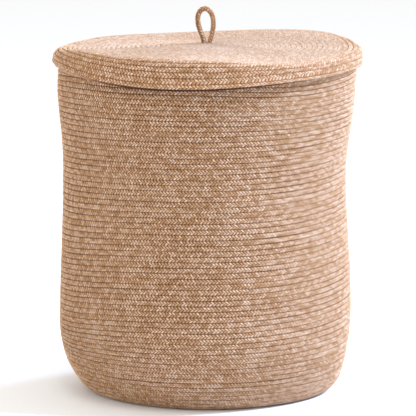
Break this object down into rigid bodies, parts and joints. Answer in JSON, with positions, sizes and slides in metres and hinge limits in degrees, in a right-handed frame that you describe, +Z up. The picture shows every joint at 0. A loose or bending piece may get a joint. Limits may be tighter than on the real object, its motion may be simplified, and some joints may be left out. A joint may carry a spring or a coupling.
{
  "type": "laundry hamper with lid",
  "caption": "Tall round soft-sided laundry hamper of coiled sewn rope, slightly waisted with a rounded foot, and a loose flat cap lid with a rope loop handle.",
  "frame": {"origin": "on the floor, under the centre of the basket's flat base", "axes": "+Z up through the lid and the handle; -Y is the front, and the handle's loop spreads along X"},
  "size_m": [0.4222, 0.4222, 0.527],
  "materials": {
    "basket_rope": "matt braided rope with a heathered tan colour",
    "lid_rope": "matt braided rope with a heathered tan colour",
    "handle_rope": "matt braided rope, slightly darker tan",
    "sewing_thread": "matt spun thread"
  },
  "bodies": {
    "basket": {"base_coil": "basket_rope", "foot_coil": "basket_rope", "lower_wall_coil": "basket_rope", "upper_wall_coil": "basket_rope", "rim_coil": "basket_rope", "basket_sewing_thread": "sewing_thread"},
    "lid": {"lid_top_coil": "lid_rope", "lid_shoulder_coil": "lid_rope", "lid_skirt_coil": "lid_rope", "lid_edge_coil": "lid_rope", "lid_sewing_thread": "sewing_thread", "handle_tail_right": "handle_rope", "handle_tail_left": "handle_rope", "handle_tail_stitches": "sewing_thread"},
    "handle": {"handle_loop": "handle_rope"}
  },
  "joints": [
    {"name": "lid_lift", "type": "slide", "parent": "basket", "child": "lid", "axis": [0, 0, 1], "range_m": [0, 0.3]},
    {"name": "handle_fold", "type": "hinge", "parent": "lid", "child": "handle", "pos_m": [0, 0, 0.4788], "axis": [1, 0, 0], "range_deg": [-75, 75], "stiffness_Nm_per_rad": 0.02}
  ]
}
